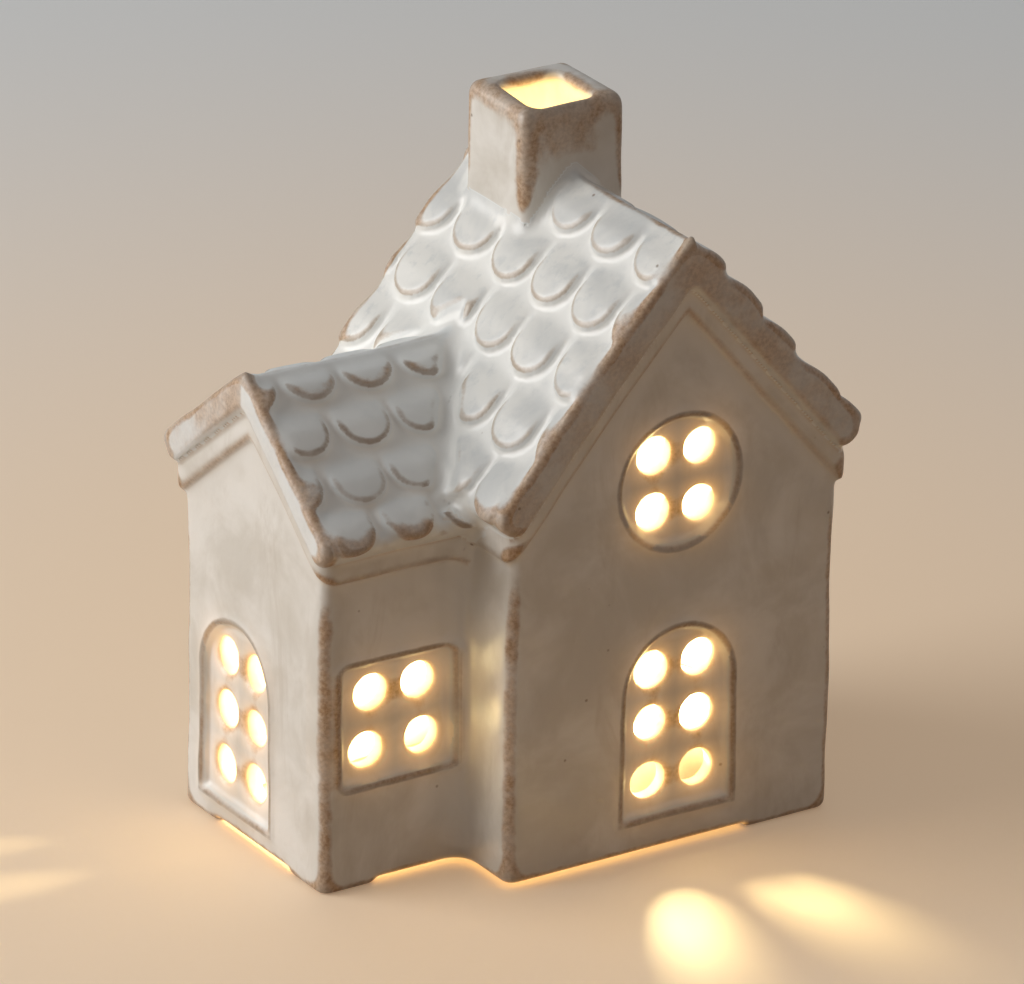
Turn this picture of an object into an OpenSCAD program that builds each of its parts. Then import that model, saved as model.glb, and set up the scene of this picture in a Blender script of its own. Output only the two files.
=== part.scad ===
// Glazed stoneware village house with a battery tealight inside.
// The house is open underneath and up its chimney. It stands over the light
// and lifts off it. The light has a slide switch and a screwed battery door.
// The walls are drawn from the front left corner of the main house:
// x to the right, y to the back, z up from the table. placed() then moves
// everything so that the middle of the whole outline is at x = 0, y = 0.

/* [Walls] */
// Width of the main house over its walls
main_w = 62; // [56:0.5:72]
// Depth of the house over its walls
main_d = 56; // [50:0.5:66]
// How far the wing reaches out to the left
wing_l = 26.6; // [20:0.2:36]
// How far the wing's front stands back from the main front
wing_set = 13.4; // [9:0.2:20]
// Wall thickness
wall = 4; // [3:0.25:5.5]
// Radius of the outer corners
corner_r = 1.8; // [1:0.2:3]
// Radius where the wing's front meets the main house
nook_r = 3; // [1:0.2:4]
// Height of the relief under the walls, between the corner feet
foot_relief = 0.8; // [0.4:0.1:1.6]
// Length of each corner foot
foot_len = 10; // [6:0.5:16]

/* [Roofs] */
// Height of the main ridge, where its two slopes would meet
ridge_z = 107.9; // [95:0.5:120]
// Pitch of the main roof in degrees
pitch = 49.5; // [42:0.5:54]
// Height of the wing ridge, where its two slopes would meet
wing_ridge_z = 83.6; // [74:0.5:90]
// Pitch of the wing roof in degrees
wing_pitch = 39; // [34:0.5:44]
// Thickness of the main roof
roof_t = 5.2; // [4:0.2:6.5]
// Thickness of the wing roof
wing_roof_t = 4.6; // [3.5:0.2:6]
// Overhang of the right-hand and back eaves
eave = 2.4; // [1.5:0.1:4.5]
// Overhang of the main roof's left eave, in front of the wing
eave_left = 4.2; // [1.5:0.1:5]
// Overhang of the wing roof's front eave
eave_wing = 4.8; // [1.5:0.1:5.5]
// Overhang of the main roof at the front gable
verge_front = 3.4; // [1.5:0.1:4.5]
// Overhang of the main roof at the back gable
verge_back = 1.2; // [0.8:0.1:3]
// Overhang of the wing roof at its gable
verge_wing = 3.1; // [1.5:0.1:4.5]
// Radius that softens the ridges
ridge_r = 1.6; // [0.6:0.2:2.2]
// Chamfer round the verges
verge_c = 0.9; // [0.3:0.1:1.3]
// Width of the moulding under the main roof, down the wall
mould_w = 3; // [1.5:0.25:4.5]
// Width of the moulding under the wing roof, down the wall
wing_mould_w = 3.8; // [1.5:0.25:5]
// How far the mouldings stand out from the walls
mould_out = 1.4; // [0.6:0.1:2]

/* [Scalloped tiles] */
// Distance from tile to tile along the main roof
tile_pitch = 12; // [10:0.25:14]
// Distance from the main ridge down to the first row's lower edge
row_first = 10.4; // [8:0.1:12]
// Distance from row to row down the main roof
row_pitch = 11.3; // [8:0.1:12]
// Distance from the main front wall to the middle of the first row's front tile
tile_start = 1.5; // [0:0.1:6]
// Tile rows on each main slope
rows = 5; // [3:1:6]
// Distance from tile to tile along the wing roof
wing_tile_pitch = 10.8; // [9:0.2:12]
// Distance from the wing ridge down to the first row's lower edge
wing_row_first = 8.2; // [6:0.1:9.5]
// Distance from row to row down the wing roof
wing_row_pitch = 9.3; // [6:0.1:10]
// Distance from the main house to the middle of a tile of the wing's first row
wing_tile_start = 7.9; // [0:0.1:10]
// Tile rows on each wing slope
wing_rows = 4; // [3:1:5]
// How far the lowest tiles hang over the eaves
tile_drip = 1.4; // [0.4:0.1:2]
// How far a tile's lower edge stands up from the roof
tile_h = 1.3; // [0.6:0.1:2]
// Gap between two neighbouring tiles in a row
tile_gap = 0.7; // [0.3:0.1:1.5]
// Chamfer round a tile's lower edge
tile_c = 0.5; // [0.2:0.1:0.8]

/* [Windows] */
// Diameter of the punched light holes
hole_d = 5.9; // [4:0.1:7.5]
// Distance between holes side by side
hole_dx = 9; // [8:0.1:10]
// Distance between holes one above the other
hole_dz = 9.8; // [8.5:0.1:10.5]
// Depth of the pressed window panels
panel_deep = 0.8; // [0.4:0.1:1.4]
// Width of the raised line round a panel
frame_w = 1.1; // [0.6:0.1:1.8]
// Height of the raised line round a panel
frame_h = 0.45; // [0.2:0.05:0.8]
// Height of the round window's centre
round_z = 65.1; // [60:0.5:68]
// Diameter of the round window's panel
round_d = 22.4; // [20:0.2:24]
// Height of the arched panels' lower edge
arch_z = 7; // [4:0.5:10]
// Width of the arched panels
arch_w = 20.6; // [18:0.2:22]
// Height of the arched panels to the top of the arch
arch_h = 32.4; // [30:0.5:36]
// Height of the square panel's lower edge
square_z = 18.2; // [12:0.5:22]
// Side of the square panel
square_w = 21; // [19:0.25:22]
// How much further apart the square panel's lower holes are punched
square_spread = 1.2; // [0:0.1:2]

/* [Chimney] */
// Width of the chimney
chimney_w = 18.6; // [15:0.2:22]
// Depth of the chimney
chimney_d = 17.4; // [15:0.2:20]
// Height of the chimney's top above the table
chimney_z = 118.8; // [112:0.2:128]
// Distance from the front wall to the chimney's front
chimney_y = 32.6; // [26:0.2:36]
// Side of the hand-cut flue
flue_w = 11.2; // [9:0.2:12]
// How far the flue is cut forward of the chimney's middle
flue_off = 1.2; // [0:0.1:1.5]

/* [Tealight] */
// Gap between the light and the right-hand wall
light_side = 1.8; // [1.5:0.1:8]
// Gap between the light and the front wall
light_front = 2.5; // [1:0.1:8]
// Diameter of the light's cup
cup_d = 36; // [36:0.25:38]
// Height of the light's cup
cup_h = 15; // [14:0.25:17]
// Thickness of the cup's skin
cup_t = 1.2; // [1:0.1:1.5]
// Width of the flame lens
flame_d = 9.6; // [9.2:0.1:11]
// Height of the flame's tip above the table
flame_z = 34; // [30:0.5:40]
// Diameter of the coin cell
cell_d = 20; // [20:0.5:20]
// Thickness of the coin cell
cell_t = 3.2; // [3:0.1:3.2]
// Diameter of the LED
led_d = 5; // [4:0.5:5]
// Travel of the slide switch
switch_travel = 2.4; // [1.5:0.1:2.6]

/* [Quality] */
// Number of segments in a full circle
smooth = 64; // [32:8:96]
// Number of segments in a roof tile's circle
tile_smooth = 24; // [16:4:32]

/* [Hidden] */
$fn = smooth;
eps = 0.01;
far = 90;

// roofs
tp = tan(pitch);
tw = tan(wing_pitch);
mid_main = main_w / 2;
wing_half = (main_d - wing_set) / 2;
mid_wing = wing_set + wing_half;
roof_v = roof_t / cos(pitch);
wing_roof_v = wing_roof_t / cos(wing_pitch);
mould_v = mould_w / cos(pitch);
wing_mould_v = wing_mould_w / cos(wing_pitch);
// where the wing's ridge runs into the main slope
valley_x = mid_main - (ridge_z - wing_ridge_z) / tp;

// the thin line of glaze between the walls and what stands on them
seam = 0.03;
// how far out a tile's lower edge reaches, when it ends at t down the slope
function tile_reach(t, a) =
  t * cos(a) + tile_h * sin(a) - tile_c * min(sin(a), cos(a));
function row_end(i, first, step, half, a) =
  min(first + i * step, half / cos(a) + tile_drip);

// whole outline
x_min = -wing_l - verge_wing;
x_max = mid_main + max(mid_main + eave,
  tile_reach(row_end(rows - 1, row_first, row_pitch, mid_main + eave, pitch), pitch));
y_min = -verge_front;
y_max = mid_wing + max(wing_half + eave,
  tile_reach(row_end(wing_rows - 1, wing_row_first, wing_row_pitch, wing_half + eave,
                     wing_pitch), wing_pitch));
mid_x = (x_min + x_max) / 2;
mid_y = (y_min + y_max) / 2;

// chimney
ch_x0 = mid_main - chimney_w / 2 + 0.5;
ch_x1 = ch_x0 + chimney_w;
ch_y0 = chimney_y;
ch_y1 = ch_y0 + chimney_d;
flue_x = (ch_x0 + ch_x1) / 2 - 0.8;
flue_y = (ch_y0 + ch_y1) / 2 - flue_off;

// light
light_x = main_w - wall - light_side - cup_d / 2;
light_y = wall + light_front + cup_d / 2;
skin_r = cup_d / 2 - cup_t;
plate_z = 0.8;
plate_t = 1.4;
plate_top = plate_z + plate_t;
play = 0.3;
strip = 0.3;
well_r = cell_d / 2 + play;
well_wall = 1.2;
well_y = -1.5;
// the well's side lies close to the skin
well_x = -sqrt(pow(skin_r - well_r - well_wall - play, 2) - well_y * well_y);
door_r = well_r + 0.4;
door_t = 1.1;
ear_x = well_x + (well_r + 2.9) * cos(60);
ear_y = well_y + (well_r + 2.9) * sin(60);
ear_r = 3.1;
ear_h = 5.4;
screw_r = 0.9;
head_r = 1.8;
head_t = 0.55;
cell_z = plate_top + 0.1;
cell_top = cell_z + cell_t;
deck_z = cup_h - 2.2;
neck_r = flame_d / 2;
led_z = deck_z + 0.2;
led_rim = 0.4;
led_body = 6.1;
lead_w = 0.5;
lead_dx = 1.27;
knob_w = 2.2;
knob_l = 2.8;
knob_lip = 0.7;
knob_rest = -switch_travel / 2;
// room that the retainer leaves for the knob, and its outer half sizes
cage_x = knob_w / 2 + knob_lip + play;
cage_y = (knob_l + switch_travel) / 2 + knob_lip + play;
cage_wall = 0.6;
cage_h = 3.7;
// the retainer's corners lie close to the skin
knob_x = sqrt(pow(skin_r, 2) - pow(cage_y + cage_wall, 2)) - cage_x - cage_wall - play;
cage_top = plate_top + cage_h;
lamp_z = cell_top + 1.9;
blade_w = 2.8;

// -------------------------------------------------------------- helpers

// moves a piece from house coordinates to the middle of the outline
module placed() { translate([-mid_x, -mid_y, 0]) children(); }

// moves a piece from the light's own axis to house coordinates
module in_light() { placed() translate([light_x, light_y, 0]) children(); }

module rounded_rect(x0, y0, x1, y1, r) {
  translate([x0 + r, y0]) square([x1 - x0 - 2 * r, y1 - y0]);
  translate([x0, y0 + r]) square([x1 - x0, y1 - y0 - 2 * r]);
  for (x = [x0 + r, x1 - r], y = [y0 + r, y1 - r]) translate([x, y]) circle(r);
}

// draws a profile given in x and z, and extrudes it along y
module along_y(y0, y1) {
  translate([0, y1, 0]) rotate([90, 0, 0]) linear_extrude(y1 - y0) children();
}

// draws a profile given in y and z, and extrudes it along x
module along_x(x0, x1) {
  translate([x0, 0, 0]) rotate([90, 0, 90]) linear_extrude(x1 - x0) children();
}

// the region under a gable whose apex is at (m, apex)
module gable(m, half, apex, slope, low) {
  polygon([[m - half, low], [m - half, apex - half * slope], [m, apex],
           [m + half, apex - half * slope], [m + half, low]]);
}

// a band of constant height v that follows a gable. Its ends, which run along
// the eaves, slant back over the width out, down to the wall
module chevron(m, half, apex, slope, v, out) {
  end = apex - half * slope;
  foot = end + out * slope - v;
  polygon([[m - half + out, foot], [m - half, end - 0.4], [m - half, end], [m, apex],
           [m + half, end], [m + half, end - 0.4], [m + half - out, foot],
           [m, apex - v]]);
}

// ---------------------------------------------------------------- walls

module plan_outer() {
  rounded_rect(0, 0, main_w, main_d, corner_r);
  rounded_rect(-wing_l, wing_set, mid_main, main_d, corner_r);
}

// the rounded nook between the wing's front and the main house
module plan_nook() {
  difference() {
    translate([-nook_r, wing_set - nook_r]) square(nook_r + 1);
    translate([-nook_r, wing_set - nook_r]) circle(nook_r);
  }
}

// the wing's share of the plan: the nook is parted along its diagonal
module plan_wing_share() {
  polygon([[0, wing_set], [-far, wing_set - far], [-far, far], [0, far]]);
}

// the nook's filling, up to the underside of the wing's eave
module nook() {
  intersection() {
    linear_extrude(far) plan_nook();
    along_x(-nook_r - 1, 1)
      gable(mid_wing, wing_half + eave_wing, wing_ridge_z - wing_roof_v - seam, tw, 0);
  }
}

module plan_inner() {
  translate([wall, wall]) square([main_w - 2 * wall, main_d - 2 * wall]);
  translate([wall - wing_l, wing_set + wall])
    square([wing_l + 1, main_d - wing_set - 2 * wall]);
}

// the walls stand on four corner feet and are relieved between them
module base_relief() {
  difference() {
    translate([-wing_l - 5, -5, -1])
      cube([main_w + wing_l + 10, main_d + 10, foot_relief + 1]);
    translate([-wing_l - 6, wing_set - 6, -2]) cube([foot_len + 6, foot_len + 6, 9]);
    translate([-wing_l - 6, main_d - foot_len, -2]) cube([foot_len + 6, foot_len + 6, 9]);
    translate([main_w - 1.6 * foot_len, -6, -2]) cube([1.6 * foot_len + 6, foot_len + 6, 9]);
    translate([main_w - foot_len, main_d - foot_len, -2])
      cube([foot_len + 6, foot_len + 6, 9]);
  }
}

// outlines of the pressed window panels, drawn upright from their middle
module round_panel(g = 0) { circle(round_d / 2 + g); }

module arch_panel(g = 0) {
  r = arch_w / 2;
  translate([-r - g, -g]) square([arch_w + 2 * g, arch_h - r + g]);
  translate([0, arch_h - r]) circle(r + g);
}

module square_panel(g = 0) {
  rounded_rect(-square_w / 2 - g, -g, square_w / 2 + g, square_w + g, 1.2 + g);
}

// rows of holes: n rows, first row at height z0, each row widened by spread
module light_holes(n, z0, spread = 0) {
  for (i = [0:n - 1], s = [-1, 1])
    translate([s * (hole_dx + (i == 0 ? spread : 0)) / 2, z0 + i * hole_dz])
      circle(hole_d / 2);
}

// a window on a face that looks towards -y, drawn at that face
module press_front(x, y, z) {
  translate([x, y, z]) rotate([90, 0, 0]) children();
}

// a window on a face that looks towards -x, drawn at that face
module press_left(x, y, z) {
  translate([x, y, z]) rotate([90, 0, -90]) children();
}

module frame_line(h = frame_h) {
  translate([0, 0, -eps]) linear_extrude(h + eps) children();
}

module punched(deep) { translate([0, 0, -deep - 1]) linear_extrude(deep + 3) children(); }

module pressed() {
  translate([0, 0, -panel_deep]) linear_extrude(panel_deep + 2) children();
}

module round_window_frame() {
  frame_line() difference() { round_panel(frame_w); round_panel(); }
}

module arch_window_frame() {
  frame_line() difference() { arch_panel(frame_w); arch_panel(); }
}

module square_window_frame() {
  frame_line() difference() { square_panel(frame_w); square_panel(); }
}

module main_walls() color([0.80, 0.76, 0.69]) placed()
  difference() {
    union() {
      intersection() {
        linear_extrude(far + 20) plan_outer();
        along_y(-1, main_d + 1)
          gable(mid_main, mid_main, ridge_z - roof_v - seam, tp, 0);
      }
      // moulding that follows the gables and runs on along the eaves
      difference() {
        along_y(-mould_out, main_d + mould_out / 2)
          chevron(mid_main, mid_main + mould_out, ridge_z - roof_v - seam, tp, mould_v,
                  mould_out);
        translate([-5, wing_set - eave_wing - 0.2, -1]) cube([5, main_d, far]);
      }
      nook();
      press_front(mid_main, 0, round_z) round_window_frame();
      press_front(mid_main + 1, 0, arch_z) arch_window_frame();
    }
    translate([0, 0, -1]) linear_extrude(far + 30) plan_inner();
    translate([0, 0, -1]) linear_extrude(far + 30) plan_wing_share();
    press_front(mid_main, 0, round_z) { pressed() round_panel(); }
    press_front(mid_main, 0, round_z) punched(wall) light_holes(2, -hole_dz / 2);
    press_front(mid_main + 1, 0, arch_z) pressed() arch_panel();
    press_front(mid_main + 1, 0, arch_z)
      punched(wall) light_holes(3, (arch_h - 2 * hole_dz) / 2 - 0.4);
    base_relief();
  }

module wing_walls() color([0.80, 0.76, 0.69]) placed()
  difference() {
    union() {
      intersection() {
        union() {
          linear_extrude(far) plan_outer();
          nook();
        }
        along_x(-wing_l - 1, 0)
          gable(mid_wing, wing_half + nook_r, wing_ridge_z - wing_roof_v - seam, tw, 0);
        linear_extrude(far) plan_wing_share();
      }
      // moulding that follows the gable and runs on along the eaves
      intersection() {
        along_x(-wing_l - mould_out, 0)
          chevron(mid_wing, wing_half + mould_out, wing_ridge_z - wing_roof_v - seam, tw,
                  wing_mould_v, mould_out);
        linear_extrude(far) plan_wing_share();
      }
      press_front(-wing_l / 2 + 0.4, wing_set, square_z) square_window_frame();
      press_left(-wing_l, mid_wing + 5, arch_z - 2) arch_window_frame();
    }
    translate([0, 0, -1]) linear_extrude(far + 30) plan_inner();
    press_front(-wing_l / 2 + 0.4, wing_set, square_z) pressed() square_panel();
    press_front(-wing_l / 2 + 0.4, wing_set, square_z)
      punched(wall) light_holes(2, (square_w - hole_dz) / 2, square_spread);
    press_left(-wing_l, mid_wing + 5, arch_z - 2) pressed() arch_panel();
    press_left(-wing_l, mid_wing + 5, arch_z - 2)
      punched(wall) light_holes(3, (arch_h - 2 * hole_dz) / 2 - 0.4);
    base_relief();
  }

// ---------------------------------------------------------------- roofs

// profile of the right half of a roof whose ridge is at x = 0, shrunk by g
module slope_profile(half, apex, a, t, g) {
  tip = t / 2 - g;
  hull() {
    translate([half - t / 2, apex - t / 2 / cos(a) - (half - t / 2) * tan(a)]) circle(tip);
    translate([0, apex - ridge_r / cos(a)]) circle(ridge_r - g / 2);
    // the ceiling runs on a little past the ridge, so that the two slopes cross
    translate([-0.4, apex - (t - g) / cos(a) + 0.4 * tan(a)]) square([0.6, 0.1]);
  }
}

// one slope, with its verges chamfered
module slope_slab(half, apex, a, t, y0, y1) {
  hull() {
    along_y(y0 + verge_c, y1 - verge_c) slope_profile(half, apex, a, t, 0);
    along_y(y0, y1) slope_profile(half, apex, a, t, verge_c);
  }
}

// both slopes: half[0] is the run of the left one and half[1] that of the right one
module roof_slabs(half, apex, a, t, y0, y1) {
  for (m = [0, 1]) mirror([1 - m, 0, 0]) slope_slab(half[m], apex, a, t, y0, y1);
}

// the round lower half of a tile
module half_disc(r, h) {
  linear_extrude(h) intersection() {
    circle(r, $fn = tile_smooth);
    translate([-eps, -r]) square([r + eps, 2 * r]);
  }
}

// one tile: its round lower end stands up, its upper end runs into the roof
module tile(w, len) {
  r = w / 2;
  translate([-r, 0, -0.6]) hull() {
    half_disc(r, tile_h - tile_c + 0.6);
    half_disc(r - tile_c, tile_h + 0.6);
    translate([r - 0.62 * len, -r * 0.85, 0]) cube([0.5, w * 0.85, tile_h * 0.8 + 0.6]);
    translate([r - len, -r * 0.9, 0]) cube([0.5, w * 0.9, 0.65]);
  }
}

// staggered rows of tiles on the right-hand slope
module tile_rows(half, apex, a, n, first, step, across, c0, y1) {
  translate([0, 0, apex]) rotate([0, a, 0])
    for (i = [0:n - 1], c = [c0 - (i % 2) * across / 2:across:y1 + across / 2])
      translate([row_end(i, first, step, half, a), c, 0])
        tile(across - tile_gap, i == 0 ? first - 0.5 : step * 1.4);
}

module both_tile_rows(half, apex, a, n, first, step, across, c0, y0, y1) {
  intersection() {
    for (m = [0, 1]) mirror([1 - m, 0, 0])
      tile_rows(half[m], apex, a, n, first, step, across, c0, y1);
    translate([-far, y0, 0]) cube([2 * far, y1 - y0, 2 * far]);
  }
}

// the ground plan of the wing side of both valleys
module valley_plan() {
  k = tw / tp;
  polygon([[valley_x, mid_wing], [valley_x - k * far, mid_wing + far],
           [valley_x - k * far, mid_wing - far]]);
}

// everything below the wing's outer slopes, as far as the wing reaches
module under_wing() {
  difference() {
    along_x(-wing_l - 9, valley_x + roof_v / tp + 3)
      gable(mid_wing, wing_half + eave_wing, wing_ridge_z, tw, 20);
    translate([0, -9, 0]) cube([far, wing_set + 9, far]);
    translate([0, main_d, 0]) cube([far, 9, far]);
  }
}

module chimney_plan(g = 0) {
  rounded_rect(ch_x0 - g, ch_y0 - g, ch_x1 + g, ch_y1 + g, 2.2 + g);
}

module main_roof() color([0.86, 0.87, 0.85]) placed()
  difference() {
    union() {
      translate([mid_main, 0, 0])
        roof_slabs([mid_main + eave_left, mid_main + eave], ridge_z, pitch, roof_t,
                   -verge_front, main_d + verge_back);
      difference() {
        translate([mid_main, 0, 0])
          both_tile_rows([mid_main + eave_left, mid_main + eave], ridge_z, pitch, rows,
                         row_first, row_pitch, tile_pitch, tile_start,
                         -verge_front + verge_c, main_d + verge_back - verge_c);
        linear_extrude(2 * far) valley_plan();
      }
    }
    // the wing roof's share, under both valleys
    under_wing();
    // room for the chimney's foot
    linear_extrude(2 * far) chimney_plan(seam);
  }

module wing_roof() color([0.62, 0.64, 0.63]) placed()
  difference() {
    union() {
      translate([0, mid_wing, 0]) rotate([0, 0, 90])
        roof_slabs([wing_half + eave_wing, wing_half + eave], wing_ridge_z, wing_pitch,
                   wing_roof_t, -valley_x - 12, wing_l + verge_wing);
      intersection() {
        translate([0, mid_wing, 0]) rotate([0, 0, 90])
          both_tile_rows([wing_half + eave_wing, wing_half + eave], wing_ridge_z,
                         wing_pitch, wing_rows, wing_row_first, wing_row_pitch,
                         wing_tile_pitch, wing_tile_start - 2 * wing_tile_pitch,
                         -valley_x - 9, wing_l + verge_wing - verge_c);
        linear_extrude(2 * far) valley_plan();
      }
    }
    // the main chamber stays open: only what lies above its ceiling is kept
    intersection() {
      along_y(-9, main_d + 9)
        gable(mid_main, mid_main + 5, ridge_z - roof_v, tp, 10);
      translate([0, -9, 0]) cube([far, far + 9, 2 * far]);
    }
    // the eaves end at the main house
    translate([0, -9, 0]) cube([far, wing_set + 9, 2 * far]);
    translate([0, main_d, 0]) cube([far, 19, 2 * far]);
  }

module chimney() color([0.66, 0.63, 0.58]) placed()
  difference() {
    intersection() {
      translate([0, 0, 60]) linear_extrude(chimney_z) chimney_plan();
      along_y(ch_y0 - 1, ch_y1 + 1) rounded_rect(ch_x0, 60, ch_x1, chimney_z, 1.6);
      along_x(ch_x0 - 1, ch_x1 + 1) rounded_rect(ch_y0, 60, ch_y1, chimney_z, 1.6);
    }
    // the flue is open from the house to the sky
    translate([0, 0, 50]) linear_extrude(far)
      rounded_rect(flue_x - flue_w / 2, flue_y - flue_w / 2,
                   flue_x + flue_w / 2, flue_y + flue_w / 2, 1.5);
    // the foot ends level with the ceiling
    along_y(-9, main_d + 9)
      gable(mid_main, mid_main, ridge_z - roof_v, tp, 10);
  }

// ------------------------------------------------------------- tealight

module light_cup() color([0.93, 0.90, 0.82]) in_light()
  difference() {
    rotate_extrude() polygon([[skin_r, 0], [cup_d / 2, 0], [cup_d / 2, cup_h - 1],
      [cup_d / 2 - 0.3, cup_h - 0.3], [cup_d / 2 - 1, cup_h], [cup_d / 2 - 1.9, cup_h],
      [cup_d / 2 - 2.9, deck_z + 0.7], [neck_r + 2.4, deck_z], [neck_r + 1.2, deck_z + 0.6],
      [neck_r + 0.1, deck_z + 0.6], [neck_r + 0.1, deck_z - 1.2],
      [skin_r - 1.2, deck_z - 1.2], [skin_r, deck_z - 2.4]]);
    // finger notch in the skirt, beside the switch
    translate([cup_d / 2 - 3, -3, -1]) cube([4, 6, plate_z]);
  }

function flame_r(u, d) = d / 2 * (cos(90 * pow(u, 1.6)) + 0.1 * sin(180 * u));

module flame_lens() color([0.98, 0.86, 0.55]) in_light() {
  z0 = deck_z + 1.2;
  zi = deck_z - 2.2;
  n = 14;
  rotate_extrude() polygon(concat(
    [[neck_r - 0.9, zi], [neck_r + 1.6, zi], [neck_r + 1.6, zi + 1], [neck_r, zi + 1]],
    [for (i = [0:n]) [max(0, flame_r(i / n, flame_d)), z0 + (flame_z - z0) * i / n]],
    [for (i = [n - 1:-1:0])
      [max(0, flame_r(i / n, flame_d) - 0.9), z0 + (flame_z - 1.4 - z0) * i / n]]));
}

module led_lamp() color([1.0, 0.95, 0.75]) in_light() {
  translate([0, 0, led_z]) cylinder(d = led_d + 2 * led_rim, h = 1);
  translate([0, 0, led_z]) cylinder(d = led_d, h = led_body);
  translate([0, 0, led_z + led_body]) sphere(d = led_d);
  // one lead stands on each contact
  for (end = [[-lead_dx, cell_top + strip], [lead_dx, lamp_z + strip]])
    translate([end[0] - lead_w / 2, -lead_w / 2, end[1]])
      cube([lead_w, lead_w, led_z - end[1] + lead_w]);
}

module base_plate() color([0.90, 0.87, 0.79]) in_light()
  difference() {
    union() {
      translate([0, 0, plate_z]) cylinder(r = skin_r, h = plate_t);
      translate([well_x, well_y, plate_z])
        cylinder(r = well_r + well_wall, h = cell_top - plate_z);
      translate([ear_x, ear_y, plate_z]) cylinder(r = ear_r + 0.8, h = ear_h);
    }
    // battery well, and the seat that takes the door
    translate([well_x, well_y, -1]) cylinder(r = well_r, h = 20);
    translate([well_x, well_y, -1]) cylinder(r = door_r + play, h = plate_top + 0.8);
    translate([ear_x, ear_y, -1]) cylinder(r = ear_r + play, h = plate_top + 1);
    translate([ear_x, ear_y, 0]) cylinder(r = screw_r + 0.1, h = 20);
    // way through the well's side for the rim contact
    translate([well_x + well_r - 1, well_y - blade_w / 2 - play, plate_top])
      cube([well_wall + 2, blade_w + 2 * play, cell_top]);
    // slot for the switch knob
    translate([knob_x - knob_w / 2 - play, knob_rest - knob_l / 2 - play, 0])
      cube([knob_w + 2 * play, knob_l + 2 * play + switch_travel, cell_top]);
  }

module coin_cell() color([0.72, 0.73, 0.74]) in_light()
  translate([well_x, well_y, cell_z]) rotate_extrude()
    polygon([[0, 0], [cell_d / 2 - 0.4, 0], [cell_d / 2, 0.4], [cell_d / 2, cell_t - 0.7],
      [cell_d / 2 - 0.7, cell_t - 0.7], [cell_d / 2 - 1.1, cell_t], [0, cell_t]]);

module contact_negative() color([0.80, 0.72, 0.45]) in_light() {
  x = well_x - well_r - 0.75 * well_wall;
  translate([x, -blade_w / 2, cell_top])
    cube([lead_w / 2 - lead_dx - x + play, blade_w, strip]);
}

module contact_positive() color([0.80, 0.72, 0.45]) in_light() {
  x = well_x + cell_d / 2 + 0.05;
  top = cage_top + strip;
  end = knob_x - cage_x;
  translate([x, well_y - blade_w / 2, cell_z + 0.2])
    cube([strip, blade_w, top + strip - cell_z - 0.2]);
  translate([x, well_y - blade_w / 2, top]) cube([end - x, blade_w, strip]);
  translate([end - strip, well_y - blade_w / 2, cage_top])
    cube([strip, blade_w, top - cage_top + strip]);
}

module contact_lamp() color([0.80, 0.72, 0.45]) in_light() {
  x = lead_dx - lead_w / 2 - play;
  end = knob_x + cage_x - strip;
  translate([x, -blade_w / 2, lamp_z]) cube([end - x, blade_w, strip]);
  translate([end - strip, -blade_w / 2, cage_top])
    cube([strip, blade_w, lamp_z - cage_top + strip]);
}

module battery_door() color([0.88, 0.85, 0.77]) in_light()
  difference() {
    union() {
      translate([well_x, well_y, plate_z]) cylinder(r = door_r, h = door_t);
      translate([ear_x, ear_y, plate_z]) cylinder(r = ear_r, h = door_t);
    }
    translate([ear_x, ear_y, 0]) cylinder(r = screw_r + 0.05, h = 9);
    // seat of the screw head
    translate([ear_x, ear_y, plate_z - 1]) cylinder(r = head_r + 0.05, h = 1.05 + head_t);
    // three grip ribs are left between four shallow grooves
    for (i = [-1.5:1:1.5])
      translate([well_x - 4, well_y + i * 1.6 - 0.35, plate_z - 1]) cube([8, 0.7, 1.3]);
  }

module door_screw() color([0.62, 0.63, 0.65]) in_light()
  translate([ear_x, ear_y, plate_z + 0.05]) difference() {
    union() {
      cylinder(r = head_r, h = head_t);
      cylinder(r = screw_r, h = ear_h - 0.4);
    }
    for (a = [0, 90]) rotate(a) translate([-1.2, -0.2, -1]) cube([2.4, 0.4, 1.3]);
  }

module switch_knob() color([0.20, 0.20, 0.21]) in_light()
  translate([knob_x, knob_rest, 0]) difference() {
    union() {
      translate([-knob_w / 2, -knob_l / 2, 0.3]) cube([knob_w, knob_l, plate_top + play]);
      translate([-knob_w / 2 - knob_lip, -knob_l / 2 - knob_lip, plate_top + play])
        cube([knob_w + 2 * knob_lip, knob_l + 2 * knob_lip, 1]);
    }
    // grip grooves on the knob
    for (y = [-0.8, 0, 0.8]) translate([-2, y - 0.15, 0]) cube([4, 0.3, 0.55]);
  }

module switch_wiper() color([0.80, 0.72, 0.45]) in_light()
  translate([knob_x - knob_w / 2, knob_rest - knob_l / 2, plate_top + play + 1]) {
    cube([knob_w, knob_l, strip]);
    // the raised bar that bridges the contacts
    translate([0.3, knob_l / 2 - 0.2, 0]) cube([knob_w - 0.6, 0.4, 2 * strip]);
  }

module switch_retainer() color([0.25, 0.25, 0.26]) in_light()
  difference() {
    translate([knob_x - cage_x - cage_wall, -cage_y - cage_wall, plate_top])
      cube([2 * (cage_x + cage_wall), 2 * (cage_y + cage_wall), cage_h]);
    translate([knob_x - cage_x, -cage_y, plate_top - 1])
      cube([2 * cage_x, 2 * cage_y, cage_h]);
  }

/* [Hidden] */

main_walls();
wing_walls();
main_roof();
wing_roof();
chimney();
light_cup();
flame_lens();
led_lamp();
base_plate();
coin_cell();
contact_negative();
contact_positive();
contact_lamp();
battery_door();
door_screw();
switch_knob();
switch_wiper();
switch_retainer();
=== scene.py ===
"""Glazed stoneware village house over a battery tealight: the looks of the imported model."""
import math

import bpy
import numpy as np
from mathutils import Matrix, Vector


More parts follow.
